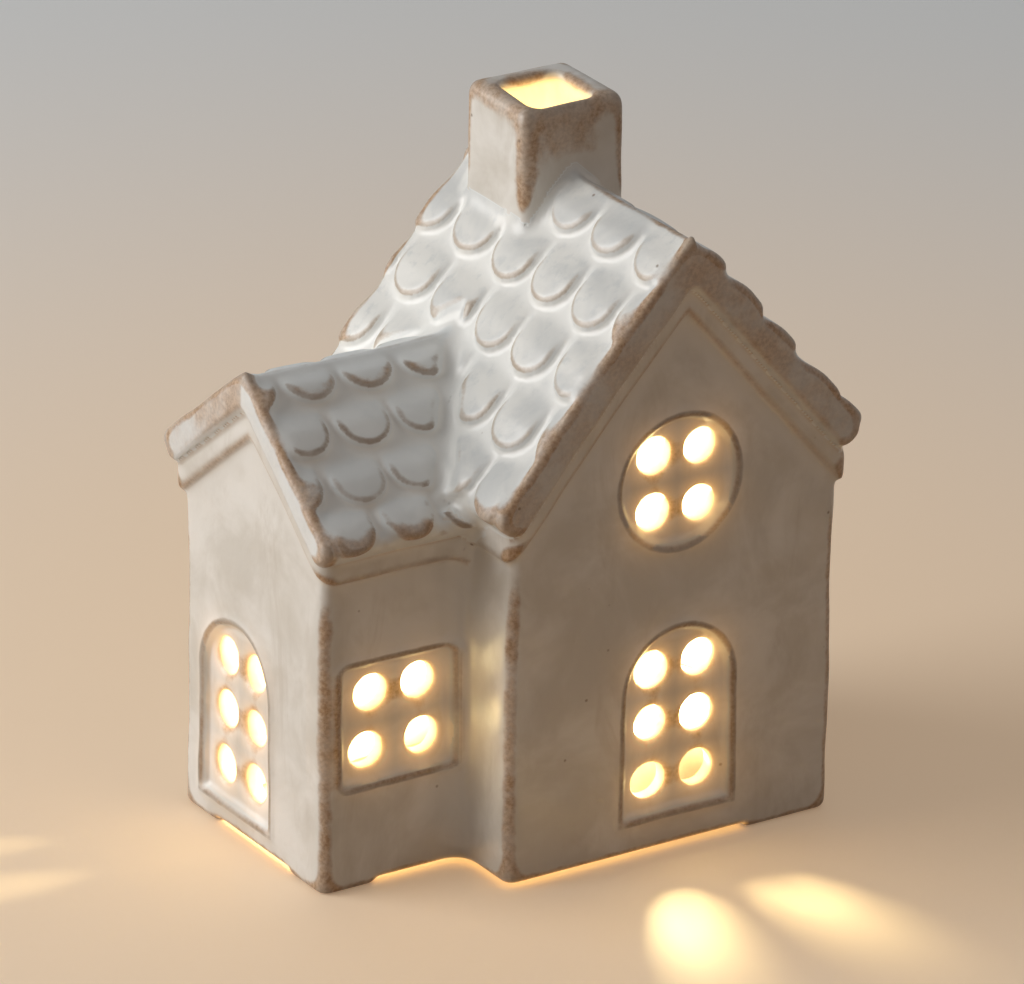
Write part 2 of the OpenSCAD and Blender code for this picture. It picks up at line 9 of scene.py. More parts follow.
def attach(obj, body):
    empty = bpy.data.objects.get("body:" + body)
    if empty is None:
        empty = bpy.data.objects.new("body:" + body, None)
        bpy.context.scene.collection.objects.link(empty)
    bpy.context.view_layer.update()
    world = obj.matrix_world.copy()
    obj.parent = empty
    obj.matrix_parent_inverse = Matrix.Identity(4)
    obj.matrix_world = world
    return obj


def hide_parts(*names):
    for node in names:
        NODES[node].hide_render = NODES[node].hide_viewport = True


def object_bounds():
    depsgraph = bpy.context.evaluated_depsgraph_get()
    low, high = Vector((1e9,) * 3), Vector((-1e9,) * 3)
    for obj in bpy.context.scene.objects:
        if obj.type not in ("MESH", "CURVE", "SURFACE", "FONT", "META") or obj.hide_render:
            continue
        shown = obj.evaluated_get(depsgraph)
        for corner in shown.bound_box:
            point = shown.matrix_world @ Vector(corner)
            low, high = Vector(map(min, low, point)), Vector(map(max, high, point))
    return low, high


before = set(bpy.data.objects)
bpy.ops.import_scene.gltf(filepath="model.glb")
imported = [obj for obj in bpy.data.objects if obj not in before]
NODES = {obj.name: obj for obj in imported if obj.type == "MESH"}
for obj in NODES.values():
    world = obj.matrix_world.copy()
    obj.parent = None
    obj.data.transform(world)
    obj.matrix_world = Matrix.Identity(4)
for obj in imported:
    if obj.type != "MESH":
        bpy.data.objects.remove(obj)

CAD_BOX = [list(v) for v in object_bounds()]
F = np.float32

# House coordinates are those of the CAD source: millimetres from the front left
# corner of the main house. MID moves them to the frame's origin.
MID = np.array([18.136515, 28.295730, 0.0])

# ---------------------------------------------------------------- sizes (mm)
MAIN_W, MAIN_D, WING_L, WING_SET, WALL = 62.0, 56.0, 26.6, 13.4, 4.0
RIDGE, PITCH, ROOF_T = 107.9, math.radians(49.5), 5.2
W_RIDGE, W_PITCH, W_ROOF_T = 83.6, math.radians(39.0), 4.6
EAVE, EAVE_LEFT, EAVE_WING = 2.4, 4.2, 4.8
VERGE_FRONT, VERGE_BACK, VERGE_WING = 3.4, 1.2, 3.1
MOULD, W_MOULD, MOULD_OUT = 3.0, 3.8, 1.4
TILE, TILE_START, ROW1, ROW, ROWS = 12.0, 1.5, 10.4, 11.3, 5
W_TILE, W_TILE_START, W_ROW1, W_ROW, W_ROWS = 10.8, 7.9, 8.2, 9.3, 4
TILE_H, TILE_GAP, TILE_DRIP, TILE_LIP = 1.3, 0.9, 1.4, 0.9
HOLE_R, HOLE_DX, HOLE_DZ = 3.05, 9.0, 9.8
THROUGH = 7  # how far in the punch of a light hole goes
CHIMNEY_AT, CHIMNEY_W, CHIMNEY_D, TOP = (22.2, 32.6), 18.6, 17.4, 118.8
FLUE, FLUE_R, FLUE_FOOT = (25.1, 34.5, 36.3, 45.7), 1.5, 84
ROUND_R, ROUND_Z = 11.2, 65.1  # the round window in the front gable
ARCH_W, ARCH_H = 20.6, 32.4  # the arched windows
FRONT_ARCH, LEFT_ARCH = 1, 5  # how far they stand off the middle of their faces
RELIEF = 0.8  # how far the walls stand clear of the table between the feet
FEET = (((-40, -WING_L + 10), (0, WING_SET + 10)), ((-40, -WING_L + 10), (MAIN_D - 10, 80)),
        ((MAIN_W - 16, 80), (-10, 10)), ((MAIN_W - 10, 80), (MAIN_D - 10, 80)))
SKIN = 0.25  # glaze on the walls and the chimney
MID_MAIN = MAIN_W / 2
W_HALF = (MAIN_D - WING_SET) / 2
MID_WING = WING_SET + W_HALF
VALLEY_X = MID_MAIN - (RIDGE - W_RIDGE) / math.tan(PITCH)
VALLEY_K = math.tan(W_PITCH) / math.tan(PITCH)

H = 0.5  # pitch of the grid that the glazed body is drawn on


# ------------------------------------ distance fields on a grid, inside is negative
def smin(a, b, k):
    """The smaller of two distances, with the corner between them filleted."""
    h = np.maximum(k - np.abs(a - b), 0) / k
    return np.minimum(a, b) - h * h * k * 0.25


def smax(a, b, k):
    """The larger of two distances, with the edge between them rounded."""
    h = np.maximum(k - np.abs(a - b), 0) / k
    return np.maximum(a, b) + h * h * k * 0.25


def step(a, b, v):
    """0 up to a, 1 from b on, and a smooth ramp between them."""
    u = np.clip((v - a) / (b - a), 0, 1)
    return u * u * (3 - 2 * u)


def corner(a, b, r):
    """Both distances at once, the edge between them rounded by r."""
    return (np.hypot(np.maximum(a + r, 0), np.maximum(b + r, 0))
            + np.minimum(np.maximum(a + r, b + r), 0) - r)


def rect(px, py, x0, y0, x1, y1, r):
    """Distance to a rectangle with corners rounded by r."""
    return corner(np.abs(px - (x0 + x1) / 2) - (x1 - x0) / 2,
                  np.abs(py - (y0 + y1) / 2) - (y1 - y0) / 2, r)


def blur(a, sigma):
    """Gaussian blur along every axis of the grid, sigma in cells."""
    reach = max(1, int(round(2.2 * sigma)))
    w = np.exp(-0.5 * (np.arange(-reach, reach + 1) / sigma) ** 2)
    w = (w / w.sum()).astype(F)
    for axis in range(a.ndim):
        pad = [(0, 0)] * a.ndim
        pad[axis] = (reach, reach)
        p = np.pad(a, pad, mode="edge")
        out = np.zeros_like(a)
        for i, wi in enumerate(w):
            s = [slice(None)] * a.ndim
            s[axis] = slice(i, i + a.shape[axis])
            out += wi * p[tuple(s)]
        a = out
    return a


def wave(seed, p, scale, n=7):
    """Smooth seeded noise of points p, about -1 to 1, with features of about scale."""
    rng = np.random.default_rng(seed)
    out = np.zeros(p.shape[:-1])
    for _ in range(n):
        k = rng.normal(size=3)
        k *= 2 * math.pi / (scale * rng.uniform(0.75, 1.6)) / np.linalg.norm(k)
        out += np.sin(p @ k + rng.uniform(0, 2 * math.pi))
    return out * math.sqrt(2 / n) * 0.6


LO = np.array([-31.57, -5.43, -1.23])
HI = np.array([67.2, 61.4, 120.4])
COUNT = np.ceil((HI - LO) / H).astype(int) + 1
X = (LO[0] + H * np.arange(COUNT[0])).astype(F)[:, None, None]
Y = (LO[1] + H * np.arange(COUNT[1])).astype(F)[None, :, None]
Z = (LO[2] + H * np.arange(COUNT[2])).astype(F)[None, None, :]


def slope(u, mid, apex, pitch):
    """Height over a roof's outer face and distance down its slope."""
    du, dz = np.sqrt((u - mid) ** 2 + 0.55), Z - apex
    return (du * math.sin(pitch) + dz * math.cos(pitch),
            du * math.cos(pitch) - dz * math.sin(pitch))


TILE_STEP = 0.15  # cell of the tiles' height map, mm


def tile_map(half, pitch, rows, first, pace, across, c0, lo, hi, seed):
    """Maps of one slope's tiles, down the slope and then along it: their height, and the
    distance inwards from the lowest row's outline."""
    eaves = half / math.cos(pitch) + TILE_DRIP
    t = np.arange(0, eaves + 4, TILE_STEP)[:, None]
    c = np.arange(lo - 4, hi + 4, TILE_STEP)[None, :]
    rng = np.random.default_rng(seed)
    field = np.zeros((t.size, c.size))
    rim = np.full_like(field, -9.0)
    for i in range(rows):
        end = min(first + i * pace, eaves)
        under = first - 1.5 if i == 0 else pace * 1.04
        at = c0 - (i % 2) * across / 2
        while at < hi + across:
            r = (across - TILE_GAP) / 2 + rng.uniform(-0.2, 0.2)
            e, m = end + rng.uniform(-0.45, 0.45), at + rng.uniform(-0.35, 0.35)
            s, d = min(e, eaves - 0.05) - t, c - m
            edge = np.where(s < r, r - np.hypot(r - s, d), r - np.abs(d))
            # the tile comes out from under the row above, and its rim is rounded over
            crown = (1 - step(0.40, 1.0, s / under)) * (1 - 0.15 * (d / r) ** 2)
            roll = np.sqrt(1 - (1 - np.clip(edge / 1.2, 0, 1)) ** 2)
            field = np.maximum(field, TILE_H * crown * roll)
            if i == rows - 1:
                rim = np.maximum(rim, np.minimum(edge, 0.4 * under - s))
            at += across
    return blur(field.astype(F), 0.22 / TILE_STEP), rim.astype(F), lo - 4


def look(table, c_lo, t, c):
    """Reads a tile map at t down the slope and c along it."""
    i = np.clip(t / TILE_STEP, 0, table.shape[0] - 1.01)
    j = np.clip((c - c_lo) / TILE_STEP, 0, table.shape[1] - 1.01)
    i, j = np.broadcast_arrays(i, j)
    i0, j0 = i.astype(np.int32), j.astype(np.int32)
    a, b = (i - i0).astype(F), (j - j0).astype(F)
    return ((table[i0, j0] * (1 - a) + table[i0 + 1, j0] * a) * (1 - b)
            + (table[i0, j0 + 1] * (1 - a) + table[i0 + 1, j0 + 1] * a) * b)


def to_verge(lift, rim, gap):
    """Evens the tiles out to one height beside a verge, gap away from it."""
    flat = 1 - step(0.8, 3.0, gap)
    return lift + (0.6 * TILE_H - lift) * flat, rim - 4 * flat


def slope_end(half, pitch, thick):
    """Where a slope's bullnosed eave ends, down the slope."""
    return (half - thick / 2) / math.cos(pitch) + thick / 2 * (math.tan(pitch) + 1) - 0.5


def roof_plate(n, t, end, thick, height, rim):
    """A slope with its eave and its lowest tiles' rims rounded."""
    half = (thick + height) / 2
    slab = corner(np.abs(n + thick - half) - half, t - end, thick * 0.42)
    top = 0.75 * TILE_H
    lip = corner(np.abs(n - (top - TILE_LIP) / 2) - (top + TILE_LIP) / 2, -rim, 0.8)
    return smin(slab, lip, 0.8)


def arch(px, py, cx, z0, w, h):
    """Distance to an upright window with a round head."""
    r = w / 2
    low = np.maximum(np.abs(px - cx) - r, z0 - py)
    return np.where(py > z0 + h - r, np.hypot(px - cx, py - (z0 + h - r)) - r, low)


def panel(sd):
    """Relief of a pressed window: the sunk panel and the raised line round it."""
    return (-0.85 * step(0.0, 1.1, -sd)
            + 0.42 * np.exp(-((sd - 0.7) / 0.65) ** 2))


def front_panels(x, z):
    return np.minimum(np.hypot(x - MID_MAIN, z - ROUND_Z) - ROUND_R,
                      arch(x, z, MID_MAIN + FRONT_ARCH, 7.0, ARCH_W, ARCH_H))


def square_panel(x, z):
    return rect(x, z, -WING_L / 2 - 10.1, 18.2, -WING_L / 2 + 10.9, 39.2, 1.2)


def left_panel(y, z):
    return arch(y, z, MID_WING + LEFT_ARCH, 5.0, ARCH_W, ARCH_H)


def holes(px, pz, places, seed):
    """Distance to the nearest of the punched holes, each a little off its place and round."""
    rng = np.random.default_rng(seed)
    out = None
    for cx, cz in places:
        cx, cz = cx + rng.uniform(-0.22, 0.22), cz + rng.uniform(-0.22, 0.22)
        sx = 1 + rng.uniform(-0.03, 0.03)
        d = np.hypot((px - cx) * sx, (pz - cz) / sx) - HOLE_R - rng.uniform(-0.12, 0.12)
        out = d if out is None else np.minimum(out, d)
    return out


def grid_of(cx, n, z0, spread=0.0):
    """Centres of n rows of two holes; spread widens the lowest row."""
    return [(cx + s * (HOLE_DX + (spread if i == 0 else 0)) / 2, z0 + i * HOLE_DZ)
            for i in range(n) for s in (-1, 1)]


FRONT_HOLES = (grid_of(MID_MAIN, 2, ROUND_Z - HOLE_DZ / 2)
               + grid_of(MID_MAIN + FRONT_ARCH, 3, 13.0))
WING_HOLES = grid_of(-WING_L / 2 + 0.4, 2, 23.8, 1.2)
LEFT_HOLES = grid_of(MID_WING + LEFT_ARCH, 3, 11.0)


def footing(x, y):
    """1 over the corner feet, 0 between them, where the walls stand clear of the table."""
    def over(v, lo, hi):
        return step(lo - 0.7, lo + 0.7, v) * step(-hi - 0.7, -hi + 0.7, -v)
    total = sum(over(x, *span_x) * over(y, *span_y) for span_x, span_y in FEET)
    return np.clip(total, 0, 1)


def draw_house():
    """The fired body as one field of distances, and the piece that each point belongs to."""
    n_m, t_m = slope(X, MID_MAIN, RIDGE, PITCH)
    n_w, t_w = slope(Y, MID_WING, W_RIDGE, W_PITCH)
    half_m = (MID_MAIN + EAVE_LEFT, MID_MAIN + EAVE)
    half_w = (W_HALF + EAVE_WING, W_HALF + EAVE)

    # tiles; beside a valley they sink into the pooled glaze
    valley = (X - VALLEY_X + VALLEY_K * np.abs(Y - MID_WING)) / math.hypot(1, VALLEY_K)
    lift_m = np.zeros(COUNT, F)
    rim_m = np.full_like(lift_m, -9.0)
    for side, half in enumerate(half_m):
        height, rim, c_lo = tile_map(half, PITCH, ROWS, ROW1, ROW, TILE, TILE_START,
                                     -VERGE_FRONT, MAIN_D + VERGE_BACK, 11 + side)
        pick = (X[:, 0, 0] < MID_MAIN) == (side == 0)
        near = np.abs(n_m[pick]) < 4
        lift = look(height, c_lo, t_m[pick], Y)
        edge = look(rim, c_lo, t_m[pick], Y)
        if side == 0:
            lift, edge = to_verge(lift, edge, Y + VERGE_FRONT)
        lift_m[pick] = lift * near * step(0.2, 2.2, valley[pick])
        rim_m[pick] = edge
    lift_w = np.zeros_like(lift_m)
    rim_w = np.full_like(lift_m, -9.0)
    for side, half in enumerate(half_w):
        height, rim, c_lo = tile_map(half, W_PITCH, W_ROWS, W_ROW1, W_ROW, W_TILE,
                                     W_TILE_START - 2 * W_TILE, -VALLEY_X - 12,
                                     WING_L + VERGE_WING, 21 + side)
        pick = (Y[0, :, 0] < MID_WING) == (side == 0)
        near = np.abs(n_w[:, pick]) < 4
        lift, edge = to_verge(look(height, c_lo, t_w[:, pick], -X),
                              look(rim, c_lo, t_w[:, pick], -X), X + WING_L + VERGE_WING)
        lift_w[:, pick] = lift * near * step(0.2, 3.0, -valley[:, pick])
        rim_w[:, pick] = edge

    # roofs
    end_m = np.where(X < MID_MAIN, slope_end(half_m[0], PITCH, ROOF_T),
                     slope_end(half_m[1], PITCH, ROOF_T)).astype(F)
    end_w = np.where(Y < MID_WING, slope_end(half_w[0], W_PITCH, W_ROOF_T),
                     slope_end(half_w[1], W_PITCH, W_ROOF_T)).astype(F)
    mid_y, reach_y = ((MAIN_D + VERGE_BACK - VERGE_FRONT) / 2,
                      (MAIN_D + VERGE_BACK + VERGE_FRONT) / 2)
    main_roof = corner(roof_plate(n_m, t_m, end_m, ROOF_T, lift_m, rim_m),
                       np.abs(Y - mid_y) - reach_y, 1.5)
    x_in = np.where(Y > MAIN_D - 0.6, 0.0, 15.0).astype(F)
    wing_roof = corner(roof_plate(n_w, t_w, end_w, W_ROOF_T, lift_w, rim_w),
                       np.maximum(-WING_L - VERGE_WING - X, X - x_in), 1.4)

    # walls and mouldings
    plan_m = rect(X, Y, 0, 0, MAIN_W, MAIN_D, 1.8) - SKIN
    plan_w = rect(X, Y, -WING_L, WING_SET, MID_MAIN, MAIN_D, 1.8) - SKIN
    walls_m = np.maximum(plan_m, n_m + ROOF_T / 2)
    walls_w = np.maximum(plan_w, n_w + W_ROOF_T / 2)
    band_m = smax(rect(X, Y, -MOULD_OUT, -MOULD_OUT, MAIN_W + MOULD_OUT,
                       MAIN_D + MOULD_OUT / 2, 2.6),
                  np.abs(n_m + ROOF_T + MOULD / 2 - 0.4) - MOULD / 2 - 0.4, 1.0)
    band_w = smax(rect(X, Y, -WING_L - MOULD_OUT, WING_SET - MOULD_OUT, 2.0,
                       MAIN_D + MOULD_OUT, 2.6),
                  np.abs(n_w + W_ROOF_T + W_MOULD / 2 - 0.4) - W_MOULD / 2 - 0.4, 1.0)

    # window panels are pressed into the faces before the holes are punched
    relief = np.zeros_like(lift_m)
    relief += panel(front_panels(X, Z)) * (1 - step(0.5, 2.5, Y))
    relief += (panel(square_panel(X, Z)) * (X < 0)
               * (1 - step(WING_SET + 0.5, WING_SET + 2.5, Y)))
    relief += panel(left_panel(Y, Z)) * (1 - step(-WING_L + 0.5, -WING_L + 2.5, X))

    # only the nook in front is filleted: at the back both walls lie in one plane
    nook = 0.02 + 4.6 * (1 - step(18, 26, Y))
    walls = smin(walls_m, walls_w, nook) - relief
    outer = smin(walls, smin(band_m, band_w, nook / 4), 1.6)
    outer = smin(outer, smin(main_roof, wing_roof, 2.4), 1.5)

    # chimney
    x0, y0 = CHIMNEY_AT
    plan_c = rect(X, Y, x0, y0, x0 + CHIMNEY_W, y0 + CHIMNEY_D, 1.5) - SKIN
    chimney = np.maximum(smax(plan_c, Z - TOP, 2.8), FLUE_FOOT - Z)
    outer = smin(outer, chimney, 2.2)
    flue = rect(X, Y, *FLUE, FLUE_R)
    outer = smax(outer, -np.maximum(flue, FLUE_FOOT - Z), 1.3)

    # light holes, each punched from its own face to just past the wall
    for punch in (np.maximum(holes(X, Z, FRONT_HOLES, 31), Y - THROUGH),
                  np.maximum(np.maximum(holes(X, Z, WING_HOLES, 32),
                                        Y - WING_SET - THROUGH), X),
                  np.maximum(holes(Y, Z, LEFT_HOLES, 33), X + WING_L - THROUGH)):
        outer = smax(outer, -punch, 1.1)

    # the foot
    outer = smax(outer, RELIEF * (1 - footing(X, Y)) - Z, 1.4)

    # the chambers
    room_m = np.maximum(rect(X, Y, WALL, WALL, MAIN_W - WALL, MAIN_D - WALL, 1.5),
                        n_m + ROOF_T)
    room_w = np.maximum(rect(X, Y, WALL - WING_L, WING_SET + WALL, 20, MAIN_D - WALL, 1.5),
                        n_w + W_ROOF_T)
    solid = smax(outer, -smin(room_m, room_w, 1.5), 0.8)

    # 1 main walls, 2 wing walls, 3 main roof, 4 wing roof, 5 chimney
    shape = solid.shape
    part = np.ones(shape, np.uint8)
    part[np.broadcast_to((X < 0) & (Y > WING_SET + X), shape)] = 2
    over_m = np.broadcast_to(n_m > -ROOF_T, shape)
    part[over_m & (main_roof < 1.5)] = 3
    wingside = X < VALLEY_X - VALLEY_K * np.abs(Y - MID_WING)
    beside = ((X > 0) & ((Y < WING_SET) | (Y > MAIN_D)))
    part[(n_w > -W_ROOF_T) & ((n_w < 0) | wingside) & ~beside & (wing_roof < 1.5)
         & ((X < 0) | over_m)] = 4
    part[(plan_c < 0) & over_m] = 5
    part[solid >= 0] = 0
    return solid, outer, part


def nets(solid, part):
    """Surface nets: one shared vertex a cell, and each part's faces, closed."""
    cut = [part[a:a - 1 or None, b:b - 1 or None, c:c - 1 or None]
           for a in (0, 1) for b in (0, 1) for c in (0, 1)]
    low, high = cut[0], cut[0]
    for c in cut[1:]:
        low, high = np.minimum(low, c), np.maximum(high, c)
    cells = np.argwhere(low != high)
    number = np.full(low.shape, -1, np.int32)
    number[tuple(cells.T)] = np.arange(len(cells))
    offs = [(a, b, c) for a in (0, 1) for b in (0, 1) for c in (0, 1)]
    d = np.stack([solid[tuple((cells + o).T)] for o in offs], 1)
    l = np.stack([part[tuple((cells + o).T)] for o in offs], 1)
    total = np.zeros((len(cells), 3))
    count = np.zeros(len(cells))
    total2, count2 = total.copy(), count.copy()
    for i, a in enumerate(offs):
        for j, b in enumerate(offs):
            if j > i and sum(abs(p - q) for p, q in zip(a, b)) == 1:
                crossing = (d[:, i] < 0) != (d[:, j] < 0)
                u = d[:, i] / np.where(crossing, d[:, i] - d[:, j], 1)
                p = np.array(a) + u[:, None] * (np.array(b) - np.array(a))
                total += p * crossing[:, None]
                count += crossing
                other = l[:, i] != l[:, j]
                total2 += (np.array(a) + np.array(b)) / 2 * other[:, None]
                count2 += other
    at = np.where(count[:, None] > 0, total / np.maximum(count, 1)[:, None],
                  total2 / np.maximum(count2, 1)[:, None])
    points = LO + H * (cells + at)

    quads, owner, outside = [], [], []
    turn = {0: [(0, -1, -1), (0, 0, -1), (0, 0, 0), (0, -1, 0)],
            1: [(-1, 0, -1), (-1, 0, 0), (0, 0, 0), (0, 0, -1)],
            2: [(-1, -1, 0), (0, -1, 0), (0, 0, 0), (-1, 0, 0)]}
    for axis in range(3):
        a = [slice(1, -1)] * 3
        b = [slice(1, -1)] * 3
        a[axis], b[axis] = slice(0, -1), slice(1, None)
        la, lb = part[tuple(a)], part[tuple(b)]
        where = np.argwhere(la != lb)
        base = where + [0 if k == axis else 1 for k in range(3)]
        va, vb = la[tuple(where.T)], lb[tuple(where.T)]
        ring = np.stack([number[tuple((base + o).T)] for o in turn[axis]], 1)
        for mine, order in ((va, ring), (vb, ring[:, ::-1])):
            keep = mine > 0
            quads.append(order[keep])
            owner.append(mine[keep])
            outside.append(((va == 0) | (vb == 0))[keep])
    return points, np.concatenate(quads), np.concatenate(owner), np.concatenate(outside)


def point_normals(points, quads):
    """Each point's normal over the faces given, and each face's own."""
    q = points[quads]
    n = np.cross(q[:, 2] - q[:, 0], q[:, 3] - q[:, 1])
    out = np.zeros_like(points)
    for k in range(3):
        for c in range(4):
            out[:, k] += np.bincount(quads[:, c], n[:, k], len(points))
    face = n / np.maximum(np.linalg.norm(n, axis=1), 1e-12)[:, None]
    return out / np.maximum(np.linalg.norm(out, axis=1), 1e-12)[:, None], face


def relax(points, quads, times, amount):
    """Evens the skin out a little, as the glaze does."""
    for _ in range(times):
        total, count = np.zeros_like(points), np.zeros(len(points))
        for c in range(4):
            a, b = quads[:, c], quads[:, (c + 1) % 4]
            count += np.bincount(a, minlength=len(points))
            count += np.bincount(b, minlength=len(points))
            for k in range(3):
                total[:, k] += np.bincount(a, points[b, k], len(points))
                total[:, k] += np.bincount(b, points[a, k], len(points))
        move = total / np.maximum(count, 1)[:, None] - points
        points = points + amount * move * (count > 0)[:, None]
    return points


def sample(field, points):
    """A field of the grid, read between its nodes at each point."""
    g = (points - LO) / H
    i = np.clip(g.astype(int), 0, np.array(field.shape) - 2)
    f = g - i
    out = 0
    for a in (0, 1):
        for b in (0, 1):
            for c in (0, 1):
                w = (np.abs(1 - a - f[:, 0]) * np.abs(1 - b - f[:, 1])
                     * np.abs(1 - c - f[:, 2]))
                out = out + w * field[i[:, 0] + a, i[:, 1] + b, i[:, 2] + c]
    return out


def painted_hole_glow(p):
    """Painted light at points p: emission round the light holes' rims, and brighter in the
    holes, standing in for the diode's light.
    """
    painted_glow = np.zeros(len(p))
    for places, u, depth in ((FRONT_HOLES, 0, p[:, 1]),
                             (WING_HOLES, 0, np.where(p[:, 0] < 1, p[:, 1] - WING_SET, 99)),
                             (LEFT_HOLES, 1, p[:, 0] + WING_L)):
        for cx, cz in places:
            gap = np.abs(np.hypot(p[:, u] - cx, p[:, 2] - cz) - HOLE_R)
            inside = 1.3 * step(0.5, 1.8, depth) * (gap < 0.8)
            painted_glow = np.where(depth < 4.5, np.maximum(painted_glow, np.exp(-gap / 2.0) + inside), painted_glow)
    return painted_glow


def clay_and_painted_shade(p, roof):
    """Where the brown shows through the glaze: in the lines along the mouldings and round the
    window panels, and on the faces of the verges. Partly thin glaze over the body, partly
    painted shade: the lines in the grooves under the roof and round the panels, and the front
    verge face, which lies in shade."""
    x, y, z = p.T
    n_m = (np.abs(x - MID_MAIN) * math.sin(PITCH) + (z - RIDGE) * math.cos(PITCH)) + ROOF_T
    n_w = (np.abs(y - MID_WING) * math.sin(W_PITCH) + (z - W_RIDGE) * math.cos(W_PITCH)
           + W_ROOF_T)
    line = np.zeros(len(p))
    for n, width, mine in ((n_m, MOULD, x > -1), (n_w, W_MOULD, x < -1)):
        lines = np.exp(-(n / 0.5) ** 2) + 0.8 * np.exp(-((n + width) / 0.45) ** 2)
        line = np.maximum(line, lines * mine * (roof == 0))
    for sd, depth in ((front_panels(x, z), y), (square_panel(x, z), y - WING_SET + 9 * (x > 0)),
                      (left_panel(y, z), x + WING_L)):
        line = np.maximum(line, 0.9 * np.exp(-((sd - 0.15) / 0.4) ** 2) * (np.abs(depth) < 1.5))
    front = np.exp(-((y + VERGE_FRONT) / 0.5) ** 2) * (roof > 0) * 0.75
    side = (np.exp(-((x + WING_L + VERGE_WING) / 0.5) ** 2) * (roof > 0)
            * np.where(y > MID_WING, 0.8, 0.2))
    return np.maximum(line, np.maximum(front, side))


PARTS = {1: ("main_walls", "cream_glaze"), 2: ("wing_walls", "cream_glaze"),
         3: ("main_roof", "white_glaze"), 4: ("wing_roof", "grey_glaze"),
         5: ("chimney", "cream_glaze")}


def build_house(material):
    """The five glazed pieces, each in the place of its own node."""
    solid, outer, part = draw_house()
    points, quads, owner, outside = nets(solid, part)
    points = relax(points, quads[outside], 2, 0.45)

    # how far each point stands out from, or lies in, what is round it
    soft = np.clip(outer, -3, 3).astype(F)
    fine = sample(blur(soft, 0.75 / H) - soft, points)
    wide = sample(blur(soft, 2.0 / H) - soft, points)
    deep = sample(soft, points) < -0.8
    fine, wide = np.where(deep, 0, fine), np.where(deep, 0, wide)
    roof = np.zeros(len(points))
    # the wing roof's weight under 1 makes its glaze a little less white, painted shade, and
    # picks out its painted tint and darker rims
    for label, weight in ((3, 1.0), (4, 0.85)):
        roof[np.unique(quads[owner == label])] = weight
    painted_glow = painted_hole_glow(points)
    # painted light: the flue's inside is given emission up to just under its rim, standing in
    # for the diode's light
    in_flue = rect(points[:, 0], points[:, 1], *FLUE, FLUE_R) < 0.5
    painted_glow = np.maximum(painted_glow, 2.2 * in_flue * step(FLUE_FOOT, 100, points[:, 2])
                      * (1 - step(TOP - 2.3, TOP - 0.6, points[:, 2])))
    # painted light along the foot between the feet, standing in for the diode's light leaking
    # out under the walls
    painted_leak_glow = np.exp(-((points[:, 2] - RELIEF) / 0.5) ** 2) * (1 - footing(*points.T[:2]))
    painted_glow = np.maximum(painted_glow, 1.8 * painted_leak_glow)
    # where the painted light is faint, the brown lines and verge faces go in below 0: partly
    # thin glaze, partly painted shade
    painted_glow = np.where(painted_glow < 0.3, painted_glow - clay_and_painted_shade(points, roof), painted_glow)

    # hand-made unevenness, none at the foot
    normal, _ = point_normals(points, quads[outside])
    fade = step(0.4, 6, points[:, 2])[:, None]
    sway = np.stack([wave(41 + k, points, 34) for k in range(3)], 1)
    points = points + fade * (0.22 * sway + 0.09 * wave(47, points, 11)[:, None] * normal)
    low, high = np.array(CAD_BOX[0]) * 1000 + MID, np.array(CAD_BOX[1]) * 1000 + MID
    points = np.clip(points, low + [0.02, 0.02, 0], high - 0.02)
    normal, _ = point_normals(points, quads[outside])
    _, face = point_normals(points, quads)

    for label, (node, slot) in PARTS.items():
        mine = owner == label
        used, local = np.unique(quads[mine], return_inverse=True)
        local = local.reshape(-1, 4)
        mesh = bpy.data.meshes.new("glazed_" + node)
        mesh.from_pydata(((points[used] - MID) / 1000).tolist(), [], local.tolist())
        mesh.polygons.foreach_set("use_smooth", np.ones(len(local), bool))
        loop = np.where(outside[mine][:, None, None], normal[quads[mine]],
                        face[mine][:, None, :]).reshape(-1, 3)
        mesh.normals_split_custom_set(loop.tolist())
        glaze = mesh.attributes.new("glaze", "FLOAT_COLOR", "POINT")
        data = np.stack([fine[used], wide[used], painted_glow[used], roof[used]], 1)
        glaze.data.foreach_set("color", data.astype(F).ravel())
        obj = bpy.data.objects.new("glazed_" + node, mesh)
        bpy.context.scene.collection.objects.link(obj)
        mesh.materials.append(material)
        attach(obj, "house")
        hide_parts(node)


